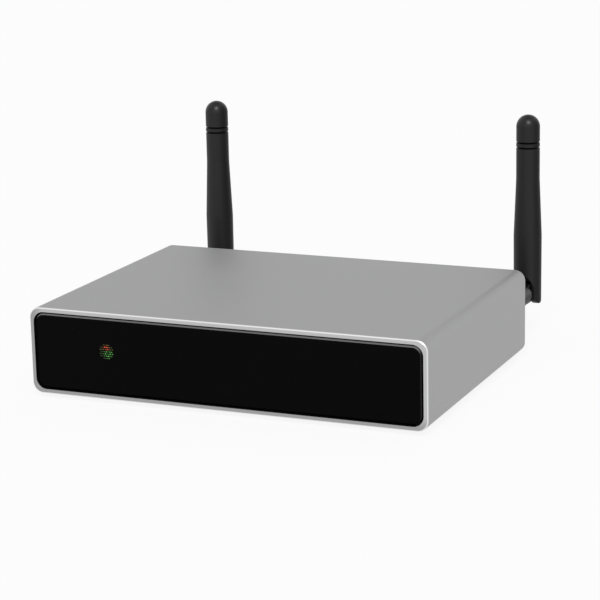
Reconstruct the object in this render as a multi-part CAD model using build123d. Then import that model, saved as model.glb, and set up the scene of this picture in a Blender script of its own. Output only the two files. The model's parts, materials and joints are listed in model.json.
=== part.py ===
from build123d import *
import math
import os

# Network music streamer: an extruded aluminium case with a black front panel, rear sockets and two
# folding antennas. Lengths are millimetres, +X runs to the right seen from the front, +Y to the rear
# and +Z up. The origin is the middle of the whole object's footprint on the surface it stands on.

# Case sleeve
case_width = 174.0
case_depth = 125.0
case_height = 36.5
wall = 1.8
outer_corner_radius = 4.6
inner_corner_radius = 4.6
front_chamfer = 0.45
rear_chamfer = 0.3
port_radius = 3.4
port_weld = 0.2
board_rib_width = 1.8
board_rib_gap = 0.6
board_slot_depth = 1.0
board_slot_play = 0.1
board_slot_lip = 1.2
under_board_space = 3.0

# Feet
foot_height = 2.0
foot_radius = 5.0
foot_taper = 0.6
foot_edge_radius = 0.5
foot_inset = 15.0

# Screws that hold the front carrier and the rear panel
screw_radius = 1.25
screw_length = 8.0
screw_head_radius = 2.25
screw_head_height = 1.6
screw_recess_width = 0.7
screw_recess_length = 2.4
screw_recess_depth = 0.9
screw_play = 0.25
thread_play = 0.05

# Front panel, its carrier and the status lights
front_recess = 0.2
front_panel_thickness = 2.5
front_panel_gap = 0.7
front_panel_bevel = 0.55
carrier_thickness = 2.0
carrier_gap = 0.15
carrier_web = 6.0
carrier_boss_radius = 2.6
carrier_boss_length = 3.2
window_play = 0.15
light_inset = 35.0
light_rise = 2.0
light_pitch = 0.8
light_row_pitch = 0.92
light_radius = 0.22
light_hole_play = 0.05
light_row_counts = (4, 7, 8, 7, 8, 7, 4)
light_rows = len(light_row_counts)
red_light_rows = 3
light_base_margin = 0.15
light_base_depth = 1.7
indicator_board_width = 46.0
indicator_board_height = 20.0
indicator_board_thickness = 1.2
indicator_board_offset = 9.0
indicator_screw_radius = 0.9
indicator_screw_length = 3.6
indicator_screw_head_radius = 1.8
indicator_screw_head_height = 1.1
indicator_screw_inset = 3.2
diode_width = 1.6
diode_height = 1.2
diode_depth = 0.8
receiver_gap = 2.2
receiver_width = 6.0
receiver_height = 7.0
receiver_depth = 2.6
receiver_lens_radius = 2.2
receiver_lens_depth = 1.6

# Flat cable between the indicator board and the main board
cable_width = 8.0
cable_thickness = 0.3
cable_bend_radius = 4.0
cable_socket_length = 10.0
cable_socket_depth = 4.0
cable_socket_height = 2.6
cable_socket_entry = 1.6
cable_offset = 18.0

# Main board and what stands on it
board_thickness = 1.6
board_front_space = 20.9
board_edge_gap = 0.5
processor_size = 15.0
processor_height = 1.4
processor_setback = 31.0
sink_size = 20.0
sink_base = 1.6
sink_height = 7.0
sink_fins = 7
sink_fin_thickness = 1.0
memory_width = 8.0
memory_length = 12.0
chip_height = 1.2
chip_size = 9.0
chip_gap = 5.0
chip_spacing = 2.5
capacitor_radius = 4.0
capacitor_height = 9.0
capacitor_groove = 0.4
capacitor_pitch = 10.5
capacitor_count = 4
capacitor_setback = 24.0
wireless_width = 26.0
wireless_length = 22.0
wireless_board_thickness = 0.9
wireless_shield_width = 17.0
wireless_shield_height = 2.2
wireless_setback = 14.0
wireless_margin = 1.25
lead_radius = 0.65
lead_plug_radius = 1.5
lead_plug_height = 1.3
lead_plug_spacing = 8.0
lead_bend_radius = 7.0
lead_drop = 22.0

# Rear panel
rear_recess = 0.5
rear_panel_thickness = 2.0
rear_panel_gap = 0.15
socket_play = 0.2
socket_proud = 0.4

# Phono sockets, stacked in pairs
phono_width = 10.6
phono_depth = 13.0
phono_barrel_radius = 4.15
phono_barrel_wall = 0.7
phono_barrel_reach = 9.0
phono_root_radius = 3.9
phono_root_length = 4.0
phono_barrel_chamfer = 0.3
phono_insert_recess = 0.8
phono_hole_radius = 1.65
phono_hole_depth = 8.0
phono_screw_radius = 1.2
phono_screw_head_radius = 2.1
# The height to spare in the case goes under the lower barrel, beside the screw's head, over the
# upper barrel and over the housing in these shares.
phono_spare_shares = (0.26, 0.21, 0.18, 0.35)

# Optical sockets with sprung shutters
optical_width = 9.8
optical_height = 10.2
optical_depth = 13.6
optical_cavity = 8.2
optical_cavity_depth = 9.0
optical_corner = 1.6
optical_floor = 0.9
lens_radius = 1.2
lens_height = 0.6
shutter_gap = 0.3
shutter_thickness = 0.7
shutter_setback = 0.5
shutter_pin_radius = 0.4
shutter_pin_length = 0.7
shutter_pin_play = 0.05

# USB socket
usb_width = 13.2
usb_height = 5.9
usb_depth = 14.0
usb_sheet = 0.35
usb_corner_radius = 0.6
usb_back_depth = 4.5
usb_tongue_width = 11.1
usb_tongue_thickness = 1.8
usb_tongue_setback = 1.0
usb_tongue_drop = 0.7
usb_contact_width = 1.0
usb_contact_thickness = 0.2
usb_contact_length = 6.5
usb_contact_pitch = 2.2
usb_contact_count = 4

# Network socket
lan_width = 16.2
lan_height = 13.6
lan_depth = 21.5
lan_cavity_width = 11.8
lan_cavity_height = 6.9
lan_cavity_depth = 12.6
lan_latch_width = 6.2
lan_latch_height = 2.2
lan_floor = 1.2
lan_contact_count = 8
lan_contact_pitch = 1.02
lan_contact_width = 0.45
lan_contact_thickness = 0.3
lan_contact_length = 6.5
lan_contact_setback = 3.0
lan_contact_drop = 1.8
lan_light_width = 3.0
lan_light_height = 1.6
lan_light_depth = 1.0
lan_light_inset = 0.8

# Power inlet
inlet_width = 9.2
inlet_height = 11.0
inlet_depth = 14.2
inlet_nose_radius = 4.2
inlet_bore_radius = 3.0
inlet_bore_depth = 9.6
inlet_pin_radius = 1.05
inlet_pin_length = 8.8

# Pairing button and its switch
button_radius = 2.4
button_reach = 1.0
button_edge_radius = 0.4
button_flange_radius = 3.2
button_flange_thickness = 0.8
button_stem_radius = 1.4
button_stem_length = 2.6
button_travel = 0.5
button_play = 0.3
button_stem_play = 0.05
switch_width = 7.2
switch_height = 7.4
switch_depth = 6.0
switch_axis_height = 4.0

# Antenna sockets, coupling nuts and swivels
antenna_inset = 10.75
socket_barrel_radius = 3.175
socket_barrel_reach = 9.0
socket_flange_radius = 4.6
socket_flange_thickness = 2.0
socket_tail_radius = 2.0
socket_tail_length = 7.0
washer_radius = 5.2
washer_thickness = 0.5
nut_across_flats = 8.0
nut_thickness = 2.0
coupling_gap = 0.6
coupling_radius = 4.65
coupling_length = 10.6
coupling_chamfer = 0.5
coupling_grooves = 22
coupling_groove_size = 0.55
coupling_grip_length = 6.2
coupling_shoulder = 3.2
swivel_radius = 4.9
swivel_neck_radius = 2.8
swivel_collar_radius = 3.05
swivel_collar_thickness = 0.8
swivel_running_play = 0.05
swivel_end_play = 0.1
swivel_gap = 0.3
swivel_chamfer = 0.4
dome_length = 4.6
dome_end_radius = 3.3
dome_setback = 5.9
knuckle_thickness = 5.6
knuckle_radius = 5.0
knuckle_web_height = 8.4
knuckle_web_overlap = 2.6

# Whips
hinge_setback = 37.9
hinge_pin_radius = 1.2
hinge_pin_play = 0.05
hinge_pin_inset = 0.5
fork_play = 0.3
fork_radius = 5.5
fork_slot_rise = 0.5
whip_reach = 80.0
whip_tip_radius = 5.25
whip_root_radius = 6.3
whip_base_radius = 6.2
whip_foot_rounding = 1.8
whip_taper_start = 28.8
whip_taper_end = 54.5
whip_groove_width = 0.7
whip_groove_depth = 0.45
whip_groove_low = 14.5
whip_groove_high = 12.2
whip_relief_top = 8.0
whip_relief_bottom = 2.0
whip_relief_depth = 4.3
radiator_radius = 1.5
radiator_rod_radius = 0.7
radiator_start = 1.0
radiator_sleeve_length = 24.0
radiator_rod_length = 26.0
radiator_space = 2.0

# How far a cut runs past the face that it opens
overrun = 1.0

# Places that several pieces share
overall_depth = case_depth + hinge_setback + whip_root_radius
front_y = -overall_depth / 2
rear_y = front_y + case_depth
hinge_y = rear_y + hinge_setback
case_bottom = foot_height
case_top = case_bottom + case_height
case_middle = (case_bottom + case_top) / 2
antenna_x = case_width / 2 - antenna_inset
port_inset = wall + port_radius - port_weld
port_x = case_width / 2 - port_inset
port_low = case_bottom + port_inset
port_high = case_top - port_inset
front_face = front_y + front_recess
carrier_front = front_face + front_panel_thickness
carrier_back = carrier_front + carrier_thickness
rear_face = rear_y - rear_recess
rear_inside = rear_face - rear_panel_thickness
board_rib_x = port_x - port_radius - board_rib_gap
board_bottom = case_bottom + wall + under_board_space
board_top = board_bottom + board_thickness
board_rear = rear_inside - board_edge_gap
board_half_width = board_rib_x - board_rib_width + board_slot_depth - board_slot_play
indicator_front = carrier_back + carrier_boss_length
indicator_back = indicator_front + indicator_board_thickness
board_front = indicator_back + board_front_space
light_centre_x = light_inset - case_width / 2
indicator_x = light_centre_x + indicator_board_offset
cable_x = light_centre_x + cable_offset
socket_face = rear_face + socket_proud


def span(centre, length):
    return (centre - length / 2, centre + length / 2)


def block(x_span, y_span, z_span):
    size = [high - low for low, high in (x_span, y_span, z_span)]
    centre = [(high + low) / 2 for low, high in (x_span, y_span, z_span)]
    return Pos(*centre) * Box(*size)


def rod_x(radius, x_span, y, z):
    length = x_span[1] - x_span[0]
    return Pos(sum(x_span) / 2, y, z) * Rot(0, 90, 0) * Cylinder(radius, length)


def rod_y(radius, x, y_span, z):
    length = y_span[1] - y_span[0]
    return Pos(x, sum(y_span) / 2, z) * Rot(90, 0, 0) * Cylinder(radius, length)


def rod_z(radius, x, y, z_span):
    length = z_span[1] - z_span[0]
    return Pos(x, y, sum(z_span) / 2) * Cylinder(radius, length)


def slab(profile, y_span):
    """A flat piece across Y, from a profile drawn with x to the right and y up."""
    return extrude(Plane.XZ.offset(-y_span[1]) * profile, amount=y_span[1] - y_span[0])


def bar_x(points, x_span):
    """A bar along X, from points given as (y, z)."""
    face = make_face(Polyline([(y, z) for y, z in points], close=True))
    return extrude(Plane.YZ.offset(x_span[0]) * face, amount=x_span[1] - x_span[0])


def turned_y(outline, x, z):
    """A piece turned about a line along Y, from an outline of (radius, y)."""
    return Pos(x, 0, z) * revolve(make_face(outline), Axis.Y)


def turned_z(outline, x, y):
    """A piece turned about a line along Z, from an outline of (radius, z)."""
    return Pos(x, y, 0) * revolve(Plane.XZ * make_face(outline), Axis.Z)


def group(pieces):
    return Compound(children=list(pieces))


def opening_profile(gap):
    """The sleeve's inside outline, drawn in by a gap."""
    width = case_width - 2 * (wall + gap)
    height = case_height - 2 * (wall + gap)
    return Pos(0, case_middle) * RectangleRounded(width, height, inner_corner_radius - gap)


def port_places():
    return [(x, z) for x in (-port_x, port_x) for z in (port_low, port_high)]


# Case

def enclosure_sleeve():
    inside = opening_profile(0)
    section = Pos(0, case_middle) * RectangleRounded(case_width, case_height, outer_corner_radius)
    section -= inside
    for x, z in port_places():
        section += Pos(x, z) * Circle(port_radius)
    rib_top = board_top + board_slot_play + board_slot_lip
    rib_height = rib_top - case_bottom - wall + port_weld
    for side in (-1, 1):
        rib_middle = side * (board_rib_x - board_rib_width / 2)
        rib = Pos(rib_middle, rib_top - rib_height / 2) * Rectangle(board_rib_width, rib_height)
        slot_middle = side * (board_rib_x - board_rib_width + board_slot_depth / 2)
        slot_height = board_thickness + 2 * board_slot_play
        slot = Pos(slot_middle, (board_bottom + board_top) / 2) * Rectangle(board_slot_depth, slot_height)
        section += rib - slot
    for x, z in port_places():
        section -= Pos(x, z) * Circle(screw_radius + thread_play)
    sleeve = slab(section, (front_y, rear_y))
    sleeve -= slab(inside, (front_y - overrun, carrier_back))
    sleeve -= slab(inside, (rear_inside, rear_y + overrun))
    front_rim = sleeve.faces().sort_by(Axis.Y)[0].outer_wire().edges()
    sleeve = chamfer(front_rim, front_chamfer)
    rear_rim = sleeve.faces().sort_by(Axis.Y)[-1].outer_wire().edges()
    return chamfer(rear_rim, rear_chamfer)


def rubber_feet():
    feet = []
    for x in (-1, 1):
        for y in (front_y + foot_inset, rear_y - foot_inset):
            foot = Cone(foot_radius - foot_taper, foot_radius, foot_height)
            foot = fillet(foot.edges().sort_by(Axis.Z)[0], foot_edge_radius)
            feet.append(Pos(x * (case_width / 2 - foot_inset), y, foot_height / 2) * foot)
    return group(feet)


def cross_recess(x, y_span, z):
    """The crossed slots in a screw's head."""
    upright = block(span(x, screw_recess_width), y_span, span(z, screw_recess_length))
    level = block(span(x, screw_recess_length), y_span, span(z, screw_recess_width))
    return upright + level


def pan_screw(x, z, seat_y, shank_radius, head_radius, length):
    """A screw driven towards the front, whose head rests on seat_y."""
    head_end = seat_y + screw_head_height
    head = rod_y(head_radius, x, (seat_y, head_end), z)
    head = fillet(head.edges().sort_by(Axis.Y)[-1], screw_head_height / 2)
    shank = rod_y(shank_radius, x, (seat_y - length, seat_y), z)
    return head + shank - cross_recess(x, (head_end - screw_recess_depth, head_end + overrun), z)


def rear_screws():
    return group(
        pan_screw(x, z, rear_face, screw_radius, screw_head_radius, screw_length)
        for x, z in port_places()
    )


def countersink(extra):
    """The cone of a countersunk head as (radius, length), enlarged by extra."""
    depth = screw_head_radius - screw_radius
    return (screw_head_radius + extra, depth + extra)


def front_screws():
    screws = []
    head_radius, head_depth = countersink(0)
    for x, z in port_places():
        head = Pos(x, carrier_front + head_depth / 2, z) * Rot(90, 0, 0) * Cone(
            screw_radius, head_radius, head_depth
        )
        shank = rod_y(screw_radius, x, (carrier_front, carrier_front + screw_length), z)
        recess = cross_recess(x, (carrier_front - overrun, carrier_front + screw_recess_depth), z)
        screws.append(head + shank - recess)
    return group(screws)


# Front panel and status lights

def light_places():
    """Centres of a round, staggered cluster of lights from the top row down, as (row, x, z)."""
    places = []
    for row, count in enumerate(light_row_counts):
        from_middle = (light_rows - 1) / 2 - row
        z = case_middle + light_rise + from_middle * light_row_pitch
        for column in range(count):
            x = light_centre_x + (column - (count - 1) / 2) * light_pitch
            places.append((row, x, z))
    return places


def light_base(rows):
    """The spans of the base that carries the light pins of some rows, as (x, z)."""
    heights = [z for row, x, z in light_places() if row in rows]
    reach = light_radius + light_base_margin
    x_span = span(light_centre_x, (max(light_row_counts) - 1) * light_pitch + 2 * reach)
    return x_span, (min(heights) - reach, max(heights) + reach)


def light_guide(rows):
    x_span, z_span = light_base(rows)
    guide = block(x_span, (carrier_front, carrier_front + light_base_depth), z_span)
    for row, x, z in light_places():
        if row in rows:
            guide += rod_y(light_radius, x, (front_face, carrier_front), z)
    return guide


def front_panel():
    panel = slab(opening_profile(front_panel_gap), (front_face, carrier_front))
    face = panel.faces().sort_by(Axis.Y)[0]
    panel = chamfer(face.edges(), front_panel_bevel)
    for row, x, z in light_places():
        hole_span = (front_face - overrun, carrier_front + overrun)
        panel -= rod_y(light_radius + light_hole_play, x, hole_span, z)
    return panel


def indicator_screw_places():
    edge = indicator_board_width / 2 - indicator_screw_inset
    return [(indicator_x - edge, case_middle), (indicator_x + edge, case_middle)]


def receiver_x():
    boss_x = indicator_screw_places()[-1][0]
    return boss_x - carrier_boss_radius - receiver_gap - receiver_width / 2


def front_carrier():
    plate_span = (carrier_front, carrier_back)
    cut_span = (carrier_front - overrun, carrier_back + overrun)
    carrier = slab(opening_profile(carrier_gap), plate_span)
    x_span, z_span = light_base(range(light_rows))
    carrier -= block(
        (x_span[0] - window_play, x_span[1] + window_play),
        cut_span,
        (z_span[0] - window_play, z_span[1] + window_play),
    )
    lens_hole = receiver_lens_radius + window_play
    carrier -= rod_y(lens_hole, receiver_x(), cut_span, case_middle)
    # The right part of the plate is a frame round one large window.
    window_left = receiver_x() + receiver_width + carrier_web
    window_right = port_x - port_radius - carrier_web
    window_height = case_height - 2 * (wall + carrier_web)
    window = Pos((window_left + window_right) / 2, case_middle) * RectangleRounded(
        window_right - window_left, window_height, carrier_web / 2
    )
    carrier -= slab(window, cut_span)
    for x, z in indicator_screw_places():
        carrier += rod_y(carrier_boss_radius, x, (carrier_front, indicator_front), z)
        screw_span = (indicator_back - indicator_screw_length, indicator_front + overrun)
        carrier -= rod_y(indicator_screw_radius + thread_play, x, screw_span, z)
    head_radius, head_depth = countersink(thread_play)
    for x, z in port_places():
        carrier -= rod_y(screw_radius + screw_play, x, cut_span, z)
        carrier -= Pos(x, carrier_front + head_depth / 2, z) * Rot(90, 0, 0) * Cone(
            screw_radius, head_radius, head_depth
        )
    return carrier


def indicator_board():
    board = block(
        span(indicator_x, indicator_board_width),
        (indicator_front, indicator_back),
        span(case_middle, indicator_board_height),
    )
    for x, z in indicator_screw_places():
        hole_span = (indicator_front - overrun, indicator_back + overrun)
        board -= rod_y(indicator_screw_radius + screw_play, x, hole_span, z)
    return board


def indicator_board_screws():
    screws = []
    for x, z in indicator_screw_places():
        head_span = (indicator_back, indicator_back + indicator_screw_head_height)
        head = rod_y(indicator_screw_head_radius, x, head_span, z)
        head = fillet(head.edges().sort_by(Axis.Y)[-1], indicator_screw_head_height / 2)
        shank_span = (indicator_back - indicator_screw_length, indicator_back)
        screws.append(head + rod_y(indicator_screw_radius, x, shank_span, z))
    return group(screws)


def status_diodes():
    y_span = (indicator_front - diode_depth, indicator_front)
    red_row = [(x, z) for row, x, z in light_places() if row == red_light_rows // 2]
    green_rows = [(x, z) for row, x, z in light_places() if row == light_rows - 1]
    places = [red_row[len(red_row) // 2], green_rows[0], green_rows[-1]]
    return group(block(span(x, diode_width), y_span, span(z, diode_height)) for x, z in places)


def infrared_receiver():
    x = receiver_x()
    body_front = indicator_front - receiver_depth
    body = block(
        span(x, receiver_width), (body_front, indicator_front), span(case_middle, receiver_height)
    )
    lens = Pos(x, body_front, case_middle) * Sphere(receiver_lens_radius)
    lens &= rod_y(
        receiver_lens_radius, x, (body_front - receiver_lens_depth, body_front), case_middle
    )
    return body + lens


# Flat front cable

def cable_places():
    """Where the cable leaves the indicator board and where it enters the main board, as (y, z)."""
    upper = (indicator_back + cable_socket_height, case_middle + indicator_board_height / 4)
    lower = (board_front + cable_socket_depth, board_top + cable_socket_height)
    return upper, lower


def front_cable():
    (start_y, start_z), (end_y, end_z) = cable_places()
    route = FilletPolyline(
        (cable_x, start_y - cable_socket_entry, start_z),
        (cable_x, end_y, start_z),
        (cable_x, end_y, end_z - cable_socket_entry),
        radius=cable_bend_radius,
    )
    start = Plane(origin=route @ 0, x_dir=(1, 0, 0), z_dir=route % 0)
    return sweep(start * Rectangle(cable_width, cable_thickness), path=route)


def front_cable_sockets():
    (start_y, start_z), (end_y, end_z) = cable_places()
    x_span = span(cable_x, cable_socket_length)
    mouth = span(cable_x, cable_width)
    upper = block(x_span, (indicator_back, start_y), span(start_z, cable_socket_depth))
    upper -= block(
        mouth, (start_y - cable_socket_entry, start_y + overrun), span(start_z, cable_thickness)
    )
    lower = block(x_span, span(end_y, cable_socket_depth), (board_top, end_z))
    lower -= block(mouth, span(end_y, cable_thickness), (end_z - cable_socket_entry, end_z + overrun))
    return group([upper, lower])


# Main board

def main_board():
    return block(
        (-board_half_width, board_half_width), (board_front, board_rear), (board_bottom, board_top)
    )


def processor_place():
    """The middle of the processor as (x, y), with its sink beside a converter chip."""
    x = socket_x("line_in") - chip_size / 2 - chip_spacing - sink_size / 2
    return (x, board_rear - processor_setback)


def processor():
    x, y = processor_place()
    return block(
        span(x, processor_size),
        span(y, processor_size),
        (board_top, board_top + processor_height),
    )


def heat_sink():
    x, y = processor_place()
    low = board_top + processor_height
    x_span = span(x, sink_size)
    sink = block(x_span, span(y, sink_size), (low, low + sink_base))
    pitch = (sink_size - sink_fin_thickness) / (sink_fins - 1)
    for index in range(sink_fins):
        fin_y = y + (index - (sink_fins - 1) / 2) * pitch
        sink += block(x_span, span(fin_y, sink_fin_thickness), (low, low + sink_height))
    return sink


def board_chips():
    """Two memory chips beside the processor and one converter behind each phono pair."""
    chips = []
    z_span = (board_top, board_top + chip_height)
    x, middle = processor_place()
    memory_x = x - sink_size / 2 - chip_gap - memory_width / 2
    for side in (-1, 1):
        y = middle + side * (memory_length + chip_spacing) / 2
        chips.append(block(span(memory_x, memory_width), span(y, memory_length), z_span))
    for name in ("line_in", "line_out"):
        y = rear_inside - phono_depth - chip_gap - chip_size / 2
        chips.append(block(span(socket_x(name), chip_size), span(y, chip_size), z_span))
    return group(chips)


def capacitors():
    cans = []
    y = board_rear - capacitor_setback
    for index in range(capacitor_count):
        x = -board_half_width + (index + 1) * capacitor_pitch
        top = board_top + capacitor_height
        groove = board_top + capacitor_height / 5
        can = rod_z(capacitor_radius, x, y, (board_top, top))
        can = fillet(can.edges().sort_by(Axis.Z)[-1], capacitor_groove)
        neck = rod_z(capacitor_radius + overrun, x, y, span(groove, capacitor_groove))
        neck -= rod_z(capacitor_radius - capacitor_groove, x, y, span(groove, capacitor_groove))
        cans.append(can - neck)
    return group(cans)


def wireless_y():
    return board_front + wireless_setback


def wireless_board():
    return block(
        span(0, wireless_width),
        span(wireless_y(), wireless_length),
        (board_top, board_top + wireless_board_thickness),
    )


def wireless_shield():
    low = board_top + wireless_board_thickness
    length = wireless_length - 2 * lead_plug_radius - 4 * wireless_margin
    front = wireless_y() - wireless_length / 2 + wireless_margin
    shield = block(
        span(0, wireless_shield_width), (front, front + length), (low, low + wireless_shield_height)
    )
    return fillet(shield.edges().filter_by(Axis.Z), wireless_shield_height / 4)


def antenna_leads():
    """A coaxial lead and its plug from each antenna socket to the wireless board."""
    tail_end = rear_inside - socket_flange_thickness - socket_tail_length
    plug_y = wireless_y() + wireless_length / 2 - lead_plug_radius - wireless_margin
    plug_low = board_top + wireless_board_thickness
    lead_low = plug_low + lead_plug_height / 2
    leads = []
    for side in (-1, 1):
        plug_x = side * lead_plug_spacing
        route = FilletPolyline(
            (side * antenna_x, tail_end, case_middle),
            (side * antenna_x, plug_y, case_middle),
            (plug_x + side * lead_drop, plug_y, lead_low),
            (plug_x, plug_y, lead_low),
            radius=[lead_bend_radius, lead_bend_radius],
        )
        start = Plane(origin=route @ 0, z_dir=route % 0)
        lead = sweep(start * Circle(lead_radius), path=route)
        lead += rod_z(lead_plug_radius, plug_x, plug_y, (plug_low, plug_low + lead_plug_height))
        leads.append(lead)
    return group(leads)


# Places of the rear sockets

def socket_widths():
    """The rear sockets in a row from +X to -X, with the width that each takes."""
    return [
        ("line_out", phono_width),
        ("line_in", phono_width),
        ("optical_out", optical_width),
        ("optical_in", optical_width),
        ("usb", usb_width),
        ("lan", lan_width),
        ("button", switch_width),
        ("inlet", inlet_width),
    ]


def socket_x(wanted):
    """The sockets share the room between the antenna nuts evenly."""
    widths = socket_widths()
    room = 2 * (antenna_x - washer_radius)
    gap = (room - sum(width for name, width in widths)) / (len(widths) + 1)
    edge = room / 2
    for name, width in widths:
        centre = edge - gap - width / 2
        if name == wanted:
            return centre
        edge = centre - width / 2
    raise ValueError(wanted)


# Phono sockets

def phono_spares():
    """The spare heights under, between and over the stacked barrels and over their housing."""
    room = case_top - wall - board_top
    spare = room - 4 * phono_barrel_radius - 2 * phono_screw_head_radius
    return [share * spare for share in phono_spare_shares]


def phono_axes():
    under, between = phono_spares()[:2]
    low = board_top + under + phono_barrel_radius
    return (low, low + between + 2 * (phono_barrel_radius + phono_screw_head_radius))


def phono_top():
    return phono_axes()[1] + phono_barrel_radius + phono_spares()[2]


def phono_root():
    return rear_inside - phono_root_length


def phono_end():
    return rear_face + phono_barrel_reach


def phono_housing(name):
    x = socket_x(name)
    housing = block(
        span(x, phono_width), (rear_inside - phono_depth, rear_inside), (board_top, phono_top())
    )
    housing = chamfer(housing.edges().filter_by(Axis.Y), phono_barrel_wall)
    for z in phono_axes():
        housing -= rod_y(phono_root_radius, x, (phono_root(), rear_inside + overrun), z)
    screw_span = (rear_face - screw_length - thread_play, rear_inside + overrun)
    return housing - rod_y(phono_screw_radius + thread_play, x, screw_span, sum(phono_axes()) / 2)


def phono_insert_radius():
    return phono_root_radius - phono_barrel_wall


def phono_barrels(name):
    """Two barrels with a shoulder where each leaves the panel."""
    x = socket_x(name)
    barrels = []
    for z in phono_axes():
        barrel = rod_y(phono_barrel_radius, x, (rear_face, phono_end()), z)
        barrel = chamfer(barrel.edges().sort_by(Axis.Y)[-1], phono_barrel_chamfer)
        barrel += rod_y(phono_root_radius, x, (phono_root(), rear_face), z)
        bore_span = (phono_root() - overrun, phono_end() + overrun)
        barrels.append(barrel - rod_y(phono_insert_radius(), x, bore_span, z))
    return group(barrels)


def phono_inserts(level):
    """The coloured inserts of one channel: level 0 is the lower row, 1 the upper."""
    inserts = []
    z = phono_axes()[level]
    face = phono_end() - phono_insert_recess
    for name in ("line_in", "line_out"):
        x = socket_x(name)
        insert = rod_y(phono_insert_radius(), x, (phono_root(), face), z)
        hole_span = (face - phono_hole_depth, face + overrun)
        inserts.append(insert - rod_y(phono_hole_radius, x, hole_span, z))
    return group(inserts)


def phono_screws():
    z = sum(phono_axes()) / 2
    return group(
        pan_screw(socket_x(name), z, rear_face, phono_screw_radius, phono_screw_head_radius, screw_length)
        for name in ("line_in", "line_out")
    )


# Optical sockets

def optical_levels():
    """The bottom and top of the plug's space."""
    low = board_top + optical_floor
    return (low, low + optical_cavity)


def optical_profile(x):
    """The plug's space is square with its two lower corners cut off."""
    low, high = optical_levels()
    left, right = span(x, optical_cavity)
    return make_face(
        Polyline(
            (left, high),
            (right, high),
            (right, low + optical_corner),
            (right - optical_corner, low),
            (left + optical_corner, low),
            (left, low + optical_corner),
            close=True,
        )
    )


def shutter_axis():
    """The shutter's hinge line as (y, z)."""
    y = socket_face - shutter_setback - shutter_pin_radius
    return (y, optical_levels()[1] - shutter_gap - shutter_pin_radius)


def optical_housing(name):
    x = socket_x(name)
    housing = block(
        span(x, optical_width),
        (socket_face - optical_depth, socket_face),
        (board_top, board_top + optical_height),
    )
    housing -= slab(optical_profile(x), (socket_face - optical_cavity_depth, socket_face + overrun))
    y, z = shutter_axis()
    pin_reach = optical_cavity + 2 * shutter_pin_length
    return housing - rod_x(shutter_pin_radius + shutter_pin_play, span(x, pin_reach), y, z)


def optical_shutter(name):
    """A flap on two pins, hung from the top of the mouth."""
    x = socket_x(name)
    y, z = shutter_axis()
    low = optical_levels()[0]
    half = optical_cavity / 2 - shutter_gap
    corner = optical_corner
    outline = Polyline(
        (x - half, z),
        (x + half, z),
        (x + half, low + corner),
        (x + half - corner, low + shutter_gap),
        (x - half + corner, low + shutter_gap),
        (x - half, low + corner),
        close=True,
    )
    flap = slab(make_face(outline), (y + shutter_pin_radius - shutter_thickness, y + shutter_pin_radius))
    flap += rod_x(shutter_pin_radius, span(x, 2 * half), y, z)
    pin_reach = optical_cavity + 2 * (shutter_pin_length - shutter_pin_play)
    return flap + rod_x(shutter_pin_radius, span(x, pin_reach), y, z)


def optical_lenses():
    back = socket_face - optical_cavity_depth
    middle = sum(optical_levels()) / 2
    lenses = []
    for name in ("optical_in", "optical_out"):
        lens = rod_y(lens_radius, socket_x(name), (back, back + lens_height), middle)
        lenses.append(fillet(lens.edges().sort_by(Axis.Y)[-1], lens_height / 2))
    return group(lenses)


# USB socket

def usb_profile(inset):
    x = socket_x("usb")
    width = usb_width - 2 * inset
    height = usb_height - 2 * inset
    outline = RectangleRounded(width, height, max(usb_corner_radius - inset, usb_sheet / 2))
    return Pos(x, board_top + usb_height / 2) * outline


def usb_shell():
    back = socket_face - usb_depth
    shell = slab(usb_profile(0), (back, socket_face))
    return shell - slab(usb_profile(usb_sheet), (back + usb_sheet, socket_face + overrun))


def usb_tongue_span():
    high = board_top + usb_height - usb_sheet - usb_tongue_drop
    return (high - usb_tongue_thickness, high)


def usb_tongue():
    back = socket_face - usb_depth + usb_sheet
    tongue = slab(usb_profile(usb_sheet), (back, back + usb_back_depth))
    return tongue + block(
        span(socket_x("usb"), usb_tongue_width),
        (back, socket_face - usb_tongue_setback),
        usb_tongue_span(),
    )


def usb_contacts():
    back = socket_face - usb_depth + usb_sheet + usb_back_depth
    low = usb_tongue_span()[0]
    strips = []
    for index in range(usb_contact_count):
        x = socket_x("usb") + (index - (usb_contact_count - 1) / 2) * usb_contact_pitch
        strips.append(
            block(
                span(x, usb_contact_width),
                (back, back + usb_contact_length),
                (low - usb_contact_thickness, low),
            )
        )
    return group(strips)


# Network socket

def lan_levels():
    """The bottom and top of the plug's space, above the latch slot."""
    low = board_top + lan_floor + lan_latch_height
    return (low, low + lan_cavity_height)


def lan_light_places():
    x = socket_x("lan")
    edge = lan_width / 2 - lan_light_inset - lan_light_width / 2
    return (x - edge, x + edge)


def lan_light_span():
    high = board_top + lan_height - lan_light_inset
    return (high - lan_light_height, high)


def lan_housing():
    x = socket_x("lan")
    low, high = lan_levels()
    housing = block(
        span(x, lan_width), (socket_face - lan_depth, socket_face), (board_top, board_top + lan_height)
    )
    cavity_span = (socket_face - lan_cavity_depth, socket_face + overrun)
    housing -= block(span(x, lan_cavity_width), cavity_span, (low, high))
    housing -= block(span(x, lan_latch_width), cavity_span, (low - lan_latch_height, low))
    for light_x in lan_light_places():
        pocket = (socket_face - lan_light_depth, socket_face + overrun)
        housing -= block(span(light_x, lan_light_width), pocket, lan_light_span())
    return housing


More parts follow.
